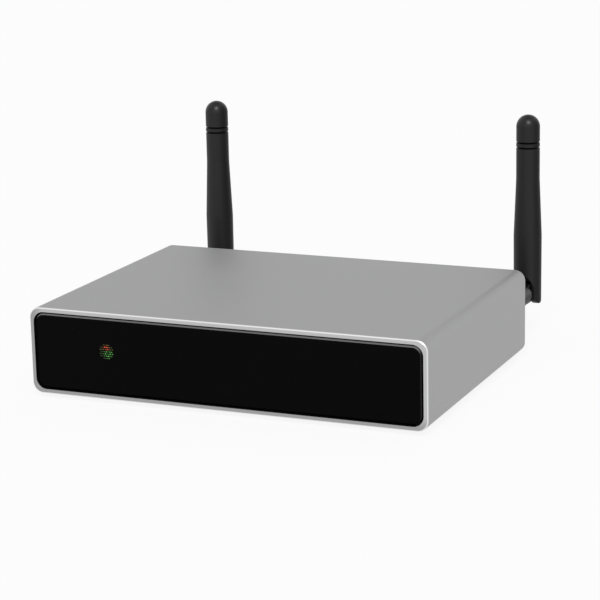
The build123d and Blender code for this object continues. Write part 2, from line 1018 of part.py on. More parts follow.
def lan_contacts():
    """Springy wires that slope down from the roof of the plug's space towards its back."""
    high = lan_levels()[1]
    front = socket_face - lan_contact_setback
    wires = []
    for index in range(lan_contact_count):
        x = socket_x("lan") + (index - (lan_contact_count - 1) / 2) * lan_contact_pitch
        points = [
            (front, high),
            (front - lan_contact_length, high - lan_contact_drop),
            (front - lan_contact_length - lan_contact_thickness, high - lan_contact_drop),
            (front - lan_contact_length - lan_contact_thickness, high),
            (front - lan_contact_length, high),
            (front - lan_contact_length, high - lan_contact_drop + lan_contact_thickness),
            (front - lan_contact_thickness, high),
        ]
        wires.append(bar_x(points, span(x, lan_contact_width)))
    return group(wires)


def lan_lights():
    y_span = (socket_face - lan_light_depth, socket_face)
    return group(block(span(x, lan_light_width), y_span, lan_light_span()) for x in lan_light_places())


# Power inlet

def inlet_axis():
    return board_top + inlet_height / 2 + wall / 2


def inlet_housing():
    x = socket_x("inlet")
    z = inlet_axis()
    housing = block(
        span(x, inlet_width),
        (socket_face - inlet_depth, rear_inside),
        (board_top, board_top + inlet_height),
    )
    housing += rod_y(inlet_nose_radius, x, (rear_inside, socket_face), z)
    return housing - rod_y(inlet_bore_radius, x, (socket_face - inlet_bore_depth, socket_face + overrun), z)


def inlet_pin():
    x = socket_x("inlet")
    back = socket_face - inlet_bore_depth
    pin = rod_y(inlet_pin_radius, x, (back, back + inlet_pin_length), inlet_axis())
    return fillet(pin.edges().sort_by(Axis.Y)[-1], inlet_pin_radius / 2)


# Pairing button

def button_z():
    return board_top + switch_axis_height


def button_stem_end():
    return rear_inside - button_play - button_flange_thickness - button_stem_length


def pairing_button():
    x = socket_x("button")
    z = button_z()
    flange_rear = rear_inside - button_play
    flange_front = flange_rear - button_flange_thickness
    cap = rod_y(button_radius, x, (flange_front, rear_face + button_reach), z)
    cap = fillet(cap.edges().sort_by(Axis.Y)[-1], button_edge_radius)
    flange = rod_y(button_flange_radius, x, (flange_front, flange_rear), z)
    return cap + flange + rod_y(button_stem_radius, x, (button_stem_end(), flange_front), z)


def pairing_switch():
    x = socket_x("button")
    z = button_z()
    front = rear_inside - button_play - button_flange_thickness - button_travel - button_play
    switch = block(
        span(x, switch_width), (front - switch_depth, front), (board_top, board_top + switch_height)
    )
    bore_end = button_stem_end() - button_travel - button_play
    return switch - rod_y(button_stem_radius + button_stem_play, x, (bore_end, front + overrun), z)


# Rear panel

def rear_panel():
    cut = (rear_inside - overrun, rear_face + overrun)
    panel = slab(opening_profile(rear_panel_gap), (rear_inside, rear_face))
    for x, z in port_places():
        panel -= rod_y(screw_radius + screw_play, x, cut, z)
    for side in (-1, 1):
        panel -= rod_y(socket_barrel_radius + socket_play, side * antenna_x, cut, case_middle)
    for name in ("line_in", "line_out"):
        for z in phono_axes():
            panel -= rod_y(phono_barrel_radius + socket_play, socket_x(name), cut, z)
        panel -= rod_y(phono_screw_radius + socket_play, socket_x(name), cut, sum(phono_axes()) / 2)
    mouths = [
        ("optical_in", optical_width, optical_height),
        ("optical_out", optical_width, optical_height),
        ("usb", usb_width, usb_height),
        ("lan", lan_width, lan_height),
    ]
    for name, width, height in mouths:
        z_span = (board_top - socket_play, board_top + height + socket_play)
        panel -= block(span(socket_x(name), width + 2 * socket_play), cut, z_span)
    panel -= rod_y(inlet_nose_radius + socket_play, socket_x("inlet"), cut, inlet_axis())
    return panel - rod_y(button_radius + button_play, socket_x("button"), cut, button_z())


# Antennas

def antenna_socket(side):
    flange_front = rear_inside - socket_flange_thickness
    end = rear_face + socket_barrel_reach
    outline = Polyline(
        (0, flange_front - socket_tail_length),
        (socket_tail_radius, flange_front - socket_tail_length),
        (socket_tail_radius, flange_front),
        (socket_flange_radius, flange_front),
        (socket_flange_radius, rear_inside),
        (socket_barrel_radius, rear_inside),
        (socket_barrel_radius, end),
        (0, end),
        close=True,
    )
    return turned_y(outline, side * antenna_x, case_middle)


def antenna_socket_washers():
    rings = []
    for side in (-1, 1):
        y_span = (rear_face, rear_face + washer_thickness)
        ring = rod_y(washer_radius, side * antenna_x, y_span, case_middle)
        rings.append(ring - rod_y(socket_barrel_radius, side * antenna_x, y_span, case_middle))
    return group(rings)


def antenna_socket_nuts():
    nuts = []
    start = rear_face + washer_thickness
    hexagon = RegularPolygon(nut_across_flats / 2, 6, major_radius=False)
    for side in (-1, 1):
        nut = slab(Pos(side * antenna_x, case_middle) * hexagon, (start, start + nut_thickness))
        cone = Pos(side * antenna_x, start + nut_thickness / 2, case_middle) * Rot(90, 0, 0) * Cone(
            nut_across_flats / 2, nut_across_flats / 2 + nut_thickness, nut_thickness
        )
        bore = rod_y(socket_barrel_radius, side * antenna_x, (start, start + nut_thickness), case_middle)
        nuts.append((nut & cone) - bore)
    return group(nuts)


def coupling_start():
    return rear_face + washer_thickness + nut_thickness + coupling_gap


def coupling_end():
    return coupling_start() + coupling_length


def coupling_nut(side):
    """A knurled nut on the socket's thread, with a shoulder that holds the swivel's collar."""
    start = coupling_start()
    end = coupling_end()
    outline = Polyline(
        (socket_barrel_radius, start),
        (coupling_radius - coupling_chamfer, start),
        (coupling_radius, start + coupling_chamfer),
        (coupling_radius, end - coupling_chamfer),
        (coupling_radius - coupling_chamfer, end),
        (swivel_neck_radius + swivel_running_play, end),
        (swivel_neck_radius + swivel_running_play, end - coupling_shoulder),
        (socket_barrel_radius, end - coupling_shoulder),
        close=True,
    )
    nut = turned_y(outline, 0, 0)
    grip = (start - overrun, start + coupling_grip_length)
    groove = Pos(coupling_radius, sum(grip) / 2, 0) * Rot(0, 45, 0) * Box(
        coupling_groove_size, grip[1] - grip[0], coupling_groove_size
    )
    grooves = [Rot(0, 360 * index / coupling_grooves, 0) * groove for index in range(coupling_grooves)]
    return Pos(side * antenna_x, 0, case_middle) * (nut - grooves)


def swivel(side):
    """A barrel that turns in the coupling nut and ends in a dome and a flat knuckle."""
    collar_end = coupling_end() - coupling_shoulder - swivel_end_play
    barrel_start = coupling_end() + swivel_gap
    dome_end = hinge_y - dome_setback
    dome_start = dome_end - dome_length
    collar = Polyline(
        (0, collar_end - swivel_collar_thickness),
        (swivel_collar_radius, collar_end - swivel_collar_thickness),
        (swivel_collar_radius, collar_end),
        (swivel_neck_radius, collar_end),
        (swivel_neck_radius, barrel_start),
        (swivel_radius - swivel_chamfer, barrel_start),
        (swivel_radius, barrel_start + swivel_chamfer),
        (swivel_radius, dome_start),
    )
    # The dome is an arc that leaves the barrel along its side.
    fall = swivel_radius - dome_end_radius
    dome_radius = (fall**2 + dome_length**2) / (2 * fall)
    half_angle = math.asin(dome_length / dome_radius) / 2
    middle = (
        swivel_radius - dome_radius * (1 - math.cos(half_angle)),
        dome_start + dome_radius * math.sin(half_angle),
    )
    dome = ThreePointArc((swivel_radius, dome_start), middle, (dome_end_radius, dome_end))
    end = Polyline((dome_end_radius, dome_end), (0, dome_end), (0, collar_end - swivel_collar_thickness))
    x = side * antenna_x
    body = turned_y(collar + dome + end, x, case_middle)
    x_span = span(x, knuckle_thickness)
    web_span = (dome_end - knuckle_web_overlap, hinge_y)
    body += block(x_span, web_span, span(case_middle, knuckle_web_height))
    body += rod_x(knuckle_radius, x_span, hinge_y, case_middle)
    return body - rod_x(
        hinge_pin_radius + hinge_pin_play, span(x, 2 * swivel_radius), hinge_y, case_middle
    )


def hinge_pin(side):
    length = 2 * (whip_base_radius - hinge_pin_inset)
    return rod_x(hinge_pin_radius, span(side * antenna_x, length), hinge_y, case_middle)


def whip_outline():
    """Half of the whip's upright outline as (radius, height), from the foot to the domed tip."""
    tip = case_middle + whip_reach
    foot = case_middle - whip_base_radius
    round_in = whip_foot_rounding * (1 - math.sqrt(0.5))
    base = Line((0, foot), (whip_base_radius - whip_foot_rounding, foot))
    base += ThreePointArc(
        (whip_base_radius - whip_foot_rounding, foot),
        (whip_base_radius - round_in, foot + round_in),
        (whip_base_radius, foot + whip_foot_rounding),
    )
    points = [(whip_base_radius, foot + whip_foot_rounding)]
    points.append((whip_root_radius, tip - whip_taper_end))
    points.append((whip_tip_radius, tip - whip_taper_start))
    for groove in (whip_groove_low, whip_groove_high):
        low, high = span(tip - groove, whip_groove_width)
        inner = whip_tip_radius - whip_groove_depth
        points += [(whip_tip_radius, low), (inner, low), (inner, high), (whip_tip_radius, high)]
    shoulder = tip - whip_tip_radius
    points.append((whip_tip_radius, shoulder))
    half = whip_tip_radius * math.sqrt(0.5)
    dome = ThreePointArc((whip_tip_radius, shoulder), (half, shoulder + half), (0, tip))
    return base + Polyline(points) + dome + Line((0, tip), (0, foot))


def whip_cavity_start():
    return case_middle + knuckle_radius + fork_slot_rise


def whip(side):
    x = side * antenna_x
    body = turned_z(whip_outline(), x, hinge_y)
    around_x = span(x, 2 * (whip_root_radius + overrun))
    around_y = span(hinge_y, 2 * (whip_root_radius + overrun))
    below = case_middle - whip_root_radius - overrun
    # The foot is rounded about the hinge pin.
    foot = block(around_x, around_y, (below, case_middle))
    body -= foot - rod_x(fork_radius, around_x, hinge_y, case_middle)
    # The slot of the fork takes the knuckle.
    slot = span(x, knuckle_thickness + 2 * fork_play)
    body -= block(slot, around_y, (below, whip_cavity_start()))
    # A sloping cut clears the front of the fork.
    front = around_y[0]
    body -= bar_x(
        [
            (front, case_middle + whip_relief_top),
            (hinge_y - whip_root_radius, case_middle + whip_relief_top),
            (hinge_y - whip_relief_depth, case_middle + whip_relief_bottom),
            (hinge_y - whip_relief_depth, below),
            (front, below),
        ],
        around_x,
    )
    pin_span = span(x, 2 * (whip_base_radius - hinge_pin_inset))
    body -= rod_x(hinge_pin_radius, pin_span, hinge_y, case_middle)
    low = whip_cavity_start()
    length = radiator_start + radiator_sleeve_length + radiator_rod_length + radiator_space
    return body - rod_z(radiator_radius, x, hinge_y, (low - overrun, low + length))


def radiator(side):
    low = whip_cavity_start() + radiator_start
    middle = low + radiator_sleeve_length
    x = side * antenna_x
    sleeve = rod_z(radiator_radius, x, hinge_y, (low, middle))
    return sleeve + rod_z(radiator_rod_radius, x, hinge_y, (middle, middle + radiator_rod_length))


def build_nodes():
    nodes = {
        "enclosure_sleeve": enclosure_sleeve(),
        "rubber_feet": rubber_feet(),
        "front_panel": front_panel(),
        "front_carrier": front_carrier(),
        "front_screws": front_screws(),
        "red_light_guide": light_guide(range(red_light_rows)),
        "green_light_guide": light_guide(range(red_light_rows, light_rows)),
        "indicator_board": indicator_board(),
        "indicator_board_screws": indicator_board_screws(),
        "status_diodes": status_diodes(),
        "infrared_receiver": infrared_receiver(),
        "front_cable": front_cable(),
        "front_cable_sockets": front_cable_sockets(),
        "main_board": main_board(),
        "processor": processor(),
        "heat_sink": heat_sink(),
        "board_chips": board_chips(),
        "capacitors": capacitors(),
        "wireless_board": wireless_board(),
        "wireless_shield": wireless_shield(),
        "antenna_leads": antenna_leads(),
        "rear_panel": rear_panel(),
        "rear_screws": rear_screws(),
        "line_in_housing": phono_housing("line_in"),
        "line_in_barrels": phono_barrels("line_in"),
        "line_out_housing": phono_housing("line_out"),
        "line_out_barrels": phono_barrels("line_out"),
        "red_phono_inserts": phono_inserts(0),
        "white_phono_inserts": phono_inserts(1),
        "phono_screws": phono_screws(),
        "optical_in_socket": optical_housing("optical_in"),
        "optical_in_shutter": optical_shutter("optical_in"),
        "optical_out_socket": optical_housing("optical_out"),
        "optical_out_shutter": optical_shutter("optical_out"),
        "optical_lenses": optical_lenses(),
        "usb_shell": usb_shell(),
        "usb_tongue": usb_tongue(),
        "usb_contacts": usb_contacts(),
        "network_socket": lan_housing(),
        "network_contacts": lan_contacts(),
        "network_lights": lan_lights(),
        "power_inlet": inlet_housing(),
        "power_inlet_pin": inlet_pin(),
        "pairing_button": pairing_button(),
        "pairing_switch": pairing_switch(),
        "antenna_socket_washers": antenna_socket_washers(),
        "antenna_socket_nuts": antenna_socket_nuts(),
    }
    for name, side in (("left", -1), ("right", 1)):
        nodes[name + "_antenna_socket"] = antenna_socket(side)
        nodes[name + "_coupling_nut"] = coupling_nut(side)
        nodes[name + "_swivel"] = swivel(side)
        nodes[name + "_hinge_pin"] = hinge_pin(side)
        nodes[name + "_whip"] = whip(side)
        nodes[name + "_radiator"] = radiator(side)
    return nodes


os.makedirs("parts", exist_ok=True)
for node, shape in build_nodes().items():
    export_step(shape, os.path.join("parts", node + ".step"))
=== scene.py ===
import json
import math

import bpy
from mathutils import Matrix, Vector


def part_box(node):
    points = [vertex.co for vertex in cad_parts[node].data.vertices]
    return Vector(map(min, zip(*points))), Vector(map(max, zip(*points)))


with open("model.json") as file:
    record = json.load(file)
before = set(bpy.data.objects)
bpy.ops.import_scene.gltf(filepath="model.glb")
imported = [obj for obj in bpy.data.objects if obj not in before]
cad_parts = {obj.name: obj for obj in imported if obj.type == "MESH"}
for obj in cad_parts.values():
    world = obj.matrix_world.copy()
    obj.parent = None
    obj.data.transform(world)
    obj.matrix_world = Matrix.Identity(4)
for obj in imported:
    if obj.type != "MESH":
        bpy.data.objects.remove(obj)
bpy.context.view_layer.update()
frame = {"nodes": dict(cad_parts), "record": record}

nodes_by_name = frame["nodes"]

# Camera: the place and angles were worked out from the edges of the case in the photograph. The
# place is measured from the middle of the case's front edge on the floor.
CASE_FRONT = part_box("enclosure_sleeve")[0].y
CAMERA_PLACE = Vector((0.359329, CASE_FRONT - 0.755118, 0.253378))
CAMERA_YAW = math.radians(23.2788)
CAMERA_PITCH = math.radians(13.8499)
CAMERA_ROLL = math.radians(1.2231)
CAMERA_LENS = 130.64
CAMERA_SENSOR = 36.0
CAMERA_NEAR = 0.01

# Light: a bright overcast studio, with a soft sun at the front, above the camera, and a wide and
# weak panel in front of the object.
WHITE = (1, 1, 1, 1)
WORLD_LEVEL = 0.52
SUN_TOWARDS = (0.27, -0.63, 0.728)
SUN_STRENGTH = 1.3
SUN_ANGLE = math.radians(30)
PANEL_PLACE = Vector((0.1, -1.2, 0.3))
PANEL_TARGET = Vector((0.05, -0.08, 0.03))
PANEL_SIZE = (0.9, 0.6)
PANEL_POWER = 0.8

# Floor: white paper that glows for the camera, with enough of the paper left to show the shadow.
FLOOR_REACH = 6.0
FLOOR_GLOW = 0.88
FLOOR_SCALE = 9.0
FLOOR_TONES = (0.94, 0.97)

# Materials: places and depths are in metres, and a scale is in cells of the noise per metre.
NOISE_START = 0.3
NOISE_END = 0.7
FINE_DETAIL = 3.0
WIDE_SCALE = 40
GRAIN_ROUGHNESS_SPREAD = 0.12
LINE_ROUGHNESS_SPREAD = 0.15
LINE_DEPTH = 4e-6
LIGHT_GUIDES = ("red_light_guide", "green_light_guide")


def add_camera():
    forward = Vector(
        (
            -math.sin(CAMERA_YAW) * math.cos(CAMERA_PITCH),
            math.cos(CAMERA_YAW) * math.cos(CAMERA_PITCH),
            -math.sin(CAMERA_PITCH),
        )
    )
    level = forward.cross(Vector((0, 0, 1))).normalized()
    below = forward.cross(level)
    right = math.cos(CAMERA_ROLL) * level + math.sin(CAMERA_ROLL) * below
    down = -math.sin(CAMERA_ROLL) * level + math.cos(CAMERA_ROLL) * below
    data = bpy.data.cameras.new("camera")
    data.lens = CAMERA_LENS
    data.sensor_width = CAMERA_SENSOR
    data.clip_start = CAMERA_NEAR
    camera = bpy.data.objects.new("camera", data)
    bpy.context.scene.collection.objects.link(camera)
    turn = Matrix((right, -down, -forward)).transposed()
    camera.matrix_world = Matrix.Translation(CAMERA_PLACE) @ turn.to_4x4()
    bpy.context.scene.camera = camera


def seen_or_mirrored(tree):
    """1 for rays from the camera, mirrored ones and ones through glass, and 0 for the light."""
    path = tree.nodes.new("ShaderNodeLightPath")
    share = path.outputs["Is Camera Ray"]
    for name in ("Is Glossy Ray", "Is Transmission Ray"):
        either = tree.nodes.new("ShaderNodeMath")
        either.operation = "MAXIMUM"
        tree.links.new(share, either.inputs[0])
        tree.links.new(path.outputs[name], either.inputs[1])
        share = either.outputs[0]
    return share


def white_source(tree, kind, strength):
    """A white background or emission."""
    source = tree.nodes.new(kind)
    source.inputs["Color"].default_value = WHITE
    source.inputs["Strength"].default_value = strength
    return source


def mix_into(tree, share, first, second, output_kind):
    """The output of a tree, as a share of the second shader over the first."""
    mix = tree.nodes.new("ShaderNodeMixShader")
    tree.links.new(share, mix.inputs["Fac"])
    tree.links.new(first.outputs[0], mix.inputs[1])
    tree.links.new(second.outputs[0], mix.inputs[2])
    output = tree.nodes.new(output_kind)
    tree.links.new(mix.outputs[0], output.inputs["Surface"])


def add_world():
    world = bpy.data.worlds.new("studio")
    world.use_nodes = True
    tree = world.node_tree
    tree.nodes.clear()
    lit = white_source(tree, "ShaderNodeBackground", WORLD_LEVEL)
    white = white_source(tree, "ShaderNodeBackground", 1.0)
    mix_into(tree, seen_or_mirrored(tree), lit, white, "ShaderNodeOutputWorld")
    bpy.context.scene.world = world


def add_lamp(data, towards, place=(0, 0, 0)):
    """A lamp that shines from a direction."""
    lamp = bpy.data.objects.new(data.name, data)
    lamp.location = place
    lamp.rotation_euler = Vector(towards).to_track_quat("Z", "Y").to_euler()
    bpy.context.scene.collection.objects.link(lamp)


def add_sun():
    data = bpy.data.lights.new("front_high", "SUN")
    data.energy = SUN_STRENGTH
    data.angle = SUN_ANGLE
    add_lamp(data, SUN_TOWARDS)


def add_panel():
    data = bpy.data.lights.new("front_low", "AREA")
    data.shape = "RECTANGLE"
    data.size, data.size_y = PANEL_SIZE
    data.energy = PANEL_POWER
    add_lamp(data, PANEL_PLACE - PANEL_TARGET, PANEL_PLACE)


def add_floor():
    reach = FLOOR_REACH
    corners = [(-reach, -reach, 0), (reach, -reach, 0), (reach, reach, 0), (-reach, reach, 0)]
    mesh = bpy.data.meshes.new("floor")
    mesh.from_pydata(corners, [], [(0, 1, 2, 3)])
    floor = bpy.data.objects.new("floor", mesh)
    bpy.context.scene.collection.objects.link(floor)
    material = bpy.data.materials.new("white_floor")
    material.use_nodes = True
    tree = material.node_tree
    tree.nodes.clear()
    share = tree.nodes.new("ShaderNodeMath")
    share.operation = "MULTIPLY"
    share.inputs[1].default_value = FLOOR_GLOW
    tree.links.new(seen_or_mirrored(tree), share.inputs[0])
    coordinates = tree.nodes.new("ShaderNodeTexCoord")
    noise = tree.nodes.new("ShaderNodeTexNoise")
    noise.inputs["Scale"].default_value = FLOOR_SCALE
    tree.links.new(coordinates.outputs["Object"], noise.inputs["Vector"])
    tones = tree.nodes.new("ShaderNodeMapRange")
    tones.inputs["To Min"].default_value, tones.inputs["To Max"].default_value = FLOOR_TONES
    tree.links.new(noise.outputs["Fac"], tones.inputs["Value"])
    paper = tree.nodes.new("ShaderNodeBsdfDiffuse")
    tree.links.new(tones.outputs["Result"], paper.inputs["Color"])
    glow = white_source(tree, "ShaderNodeEmission", 1.0)
    mix_into(tree, share.outputs[0], paper, glow, "ShaderNodeOutputMaterial")
    mesh.materials.append(material)


class Finish:
    """A procedural material: noise varies the colour and the roughness, and gives the bump."""

    def __init__(self, name, colour, metallic=0.0, level=0.5):
        self.material = bpy.data.materials.new(name)
        self.material.use_nodes = True
        self.tree = self.material.node_tree
        self.shader = self.tree.nodes["Principled BSDF"]
        self.shader.inputs["Metallic"].default_value = metallic
        self.shader.inputs["Specular IOR Level"].default_value = level
        self.place = self.node("ShaderNodeTexCoord").outputs["Object"]
        self.base = colour

    def node(self, kind, **values):
        made = self.tree.nodes.new(kind)
        for key, value in values.items():
            setattr(made, key, value)
        return made

    def join(self, output, socket):
        self.tree.links.new(output, socket)

    def scaled(self, scale, stretch=(1, 1, 1)):
        """The place on the piece, for a texture with so many cells per metre."""
        mapping = self.node("ShaderNodeMapping")
        mapping.inputs["Scale"].default_value = [scale * part for part in stretch]
        self.join(self.place, mapping.inputs["Vector"])
        return mapping.outputs["Vector"]

    def noise(self, scale, detail=2.0, stretch=(1, 1, 1)):
        vector = self.scaled(scale, stretch)
        noise = self.node("ShaderNodeTexNoise")
        noise.inputs["Scale"].default_value = 1.0
        noise.inputs["Detail"].default_value = detail
        self.join(vector, noise.inputs["Vector"])
        return noise.outputs["Fac"]

    def cells(self, scale, feature="F1"):
        vector = self.scaled(scale)
        cells = self.node("ShaderNodeTexVoronoi", feature=feature)
        cells.inputs["Scale"].default_value = 1.0
        self.join(vector, cells.inputs["Vector"])
        return cells.outputs["Distance"]

    def spread(self, value, low, high, start=NOISE_START, end=NOISE_END):
        """From low to high while a value goes from start to end."""
        reach = self.node("ShaderNodeMapRange")
        reach.inputs["From Min"].default_value = start
        reach.inputs["From Max"].default_value = end
        reach.inputs["To Min"].default_value = low
        reach.inputs["To Max"].default_value = high
        self.join(value, reach.inputs["Value"])
        return reach.outputs["Result"]

    def rise(self, value, start=NOISE_START, end=NOISE_END):
        return self.spread(value, 0, 1, start, end)

    def fall(self, value, start, end):
        return self.spread(value, 1, 0, start, end)

    def band(self, value, rise, fall):
        """1 between two spans of a value, each as (start, end), and 0 outside them."""
        return self.times(self.rise(value, *rise), self.fall(value, *fall))

    def calc(self, operation, first, second=0):
        made = self.node("ShaderNodeMath", operation=operation)
        for index, value in enumerate((first, second)):
            if isinstance(value, (int, float)):
                made.inputs[index].default_value = value
            else:
                self.join(value, made.inputs[index])
        return made.outputs[0]

    def plus(self, first, second):
        return self.calc("ADD", first, second)

    def minus(self, first, second):
        return self.calc("SUBTRACT", first, second)

    def times(self, first, second):
        return self.calc("MULTIPLY", first, second)

    def most(self, first, second):
        return self.calc("MAXIMUM", first, second)

    def size_of(self, value):
        return self.calc("ABSOLUTE", value)

    def mingle(self, first, second, share=0.5):
        """A share of the first value and the rest of the second."""
        return self.plus(self.times(first, share), self.times(second, 1 - share))

    def blend(self, share, first, second):
        """A colour between two, where each is a colour or a socket."""
        mix = self.node("ShaderNodeMix", data_type="RGBA")
        self.join(share, mix.inputs["Factor"])
        sockets = {socket.name: socket for socket in mix.inputs if socket.type == "RGBA"}
        for name, value in (("A", first), ("B", second)):
            if isinstance(value, tuple):
                sockets[name].default_value = (*value, 1)
            else:
                self.join(value, sockets[name])
        return next(socket for socket in mix.outputs if socket.type == "RGBA")

    def tint(self, share, amount, base=None):
        """A colour, or else the base colour, darker and lighter by an amount along a share."""
        dark = scaled_colour(base or self.base, 1 - amount)
        light = scaled_colour(base or self.base, 1 + amount)
        return self.blend(share, dark, light)

    def parts_of(self, vector):
        """The X, Y and Z of a vector."""
        split = self.node("ShaderNodeSeparateXYZ")
        self.join(vector, split.inputs[0])
        return split.outputs

    def turned(self, axis):
        """How far the surface turns along an axis of the scene, from -1 to 1."""
        return self.parts_of(self.node("ShaderNodeNewGeometry").outputs["Normal"])[axis]

    def facing(self, axis):
        return self.size_of(self.turned(axis))

    def bump(self, height, distance):
        made = self.node("ShaderNodeBump")
        made.inputs["Strength"].default_value = 1.0
        made.inputs["Distance"].default_value = distance
        self.join(height, made.inputs["Height"])
        self.join(made.outputs["Normal"], self.shader.inputs["Normal"])

    def done(self, colour, roughness):
        self.join(colour, self.shader.inputs["Base Color"])
        self.join(roughness, self.shader.inputs["Roughness"])
        return self.material


def scaled_colour(colour, amount):
    return tuple(part * amount for part in colour)


def grained(name, colour, roughness, metallic=0.0, scale=2500, amount=0.06, depth=1e-5):
    """A moulded, blasted or plated surface with a fine grain and a faint wide unevenness."""
    finish = Finish(name, colour, metallic)
    fine = finish.noise(scale)
    broad = finish.noise(WIDE_SCALE, FINE_DETAIL)
    both = finish.mingle(fine, broad)
    smooth = roughness * (1 - GRAIN_ROUGHNESS_SPREAD)
    rough = min(1.0, roughness * (1 + GRAIN_ROUGHNESS_SPREAD))
    finish.bump(fine, depth)
    return finish.done(finish.tint(finish.rise(both), amount), finish.spread(both, smooth, rough))


def brushed(name, colour, roughness, stretch, metallic=1.0, scale=5000, amount=0.07):
    """Metal or another drawn surface with fine lines along one direction."""
    finish = Finish(name, colour, metallic)
    lines = finish.noise(scale, FINE_DETAIL, stretch)
    smooth = roughness * (1 - LINE_ROUGHNESS_SPREAD)
    rough = roughness * (1 + LINE_ROUGHNESS_SPREAD)
    finish.bump(lines, LINE_DEPTH)
    return finish.done(finish.tint(finish.rise(lines), amount), finish.spread(lines, smooth, rough))


def satin_aluminium(name):
    """Blasted and anodised: a cut front rim and a bright chamfer round it, with painted light and
    shade: lighter sides, painted shade on the rim's left and lower bars and near-black painted
    shade on the inner walls.
    """
    body, side_painted_light = (0.336, 0.336, 0.338), (0.382, 0.382, 0.384)
    rim_lit, rim_shaded = (0.49, 0.49, 0.493), (0.34, 0.34, 0.342)
    cut, inner_painted_shade = (0.74, 0.74, 0.745), (0.03, 0.03, 0.031)
    grain_scale, broad_scale, grain_share, grain_depth = 3800, 14, 0.4, 6e-6
    unevenness = 0.035
    smooth, rough = 0.52, 0.6
    cut_polish, rim_polish = 0.18, 0.08
    side_turn, rim_turn = (0.3, 0.9), (0.9, 0.98)
    cut_turn_start, cut_turn_end = (0.3, 0.55), (0.85, 0.97)
    shade_start, shade_end = 0.002, 0.006
    inner_span = (-0.008, -0.002)
    deep_start, deep_end = 0.0005, 0.0009

    finish = Finish(name, body, metallic=0.92)
    grain = finish.noise(grain_scale, FINE_DETAIL)
    both = finish.mingle(grain, finish.noise(broad_scale), grain_share)
    uneven = finish.rise(both)
    # The faces that turn towards X get a lighter copy of the body colour: painted light.
    plain = finish.blend(
        finish.rise(finish.facing("X"), *side_turn),
        finish.tint(uneven, unevenness),
        finish.tint(uneven, unevenness, side_painted_light),
    )
    turned = finish.facing("Y")
    chamfer = finish.band(turned, cut_turn_start, cut_turn_end)
    rim = finish.rise(turned, *rim_turn)

    # The rim's left and lower bars get painted shade: a darker copy of the rim colour.
    low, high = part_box("enclosure_sleeve")
    place = finish.parts_of(finish.place)
    shade = finish.most(
        finish.fall(place["X"], low.x + shade_start, low.x + shade_end),
        finish.fall(place["Z"], low.z + shade_start, low.z + shade_end),
    )
    colour = finish.blend(rim, plain, finish.blend(shade, rim_lit, rim_shaded))
    colour = finish.blend(chamfer, colour, cut)
    roughness = finish.minus(finish.spread(both, smooth, rough), finish.times(chamfer, cut_polish))
    roughness = finish.minus(roughness, finish.times(rim, rim_polish))

    # Walls that face the middle of the case, and faces behind its two ends, are inside, and get a
    # near-black painted shade.
    height = finish.minus(place["Z"], (low.z + high.z) / 2)
    outward = finish.plus(
        finish.times(finish.turned("X"), place["X"]), finish.times(finish.turned("Z"), height)
    )
    deep = finish.band(
        place["Y"],
        (low.y + deep_start, low.y + deep_end),
        (high.y - deep_end, high.y - deep_start),
    )
    inner = finish.most(finish.fall(outward, *inner_span), finish.times(rim, deep))
    finish.bump(grain, grain_depth)
    return finish.done(finish.blend(inner, colour, inner_painted_shade), roughness)


def black_acrylic(name):
    """A polished face with milled edges, dark at the sides; along the top a paler, matt colour is
    painted light.
    """
    face, milled, top_painted_light = (0.0014, 0.0014, 0.0015), (0.04, 0.04, 0.041), (0.18, 0.18, 0.183)
    broad_scale, fine_scale, fine_depth = 22, 1800, 6e-7
    unevenness = 0.08
    smooth, rough = 0.06, 0.11
    side_roughness, side_turn = 0.5, (0.3, 0.6)
    edge_roughness, edge_turn_start, edge_turn_end = 0.24, (0.3, 0.6), (0.8, 0.95)
    top_turn = (0.2, 0.6)

    finish = Finish(name, face, level=0.03)
    broad = finish.noise(broad_scale, FINE_DETAIL)
    turned = finish.facing("Y")
    edge = finish.band(turned, edge_turn_start, edge_turn_end)
    # Faces that turn up get a paler colour: painted light.
    top = finish.rise(finish.turned("Z"), *top_turn)
    colour = finish.blend(edge, finish.tint(finish.rise(broad), unevenness), milled)
    colour = finish.blend(top, colour, top_painted_light)
    finish.join(finish.times(edge, finish.minus(1, top)), finish.shader.inputs["Metallic"])
    side = finish.plus(
        finish.spread(turned, side_roughness, 0, *side_turn), finish.times(edge, edge_roughness)
    )
    finish.bump(finish.noise(fine_scale), fine_depth)
    return finish.done(colour, finish.plus(finish.spread(broad, smooth, rough), side))


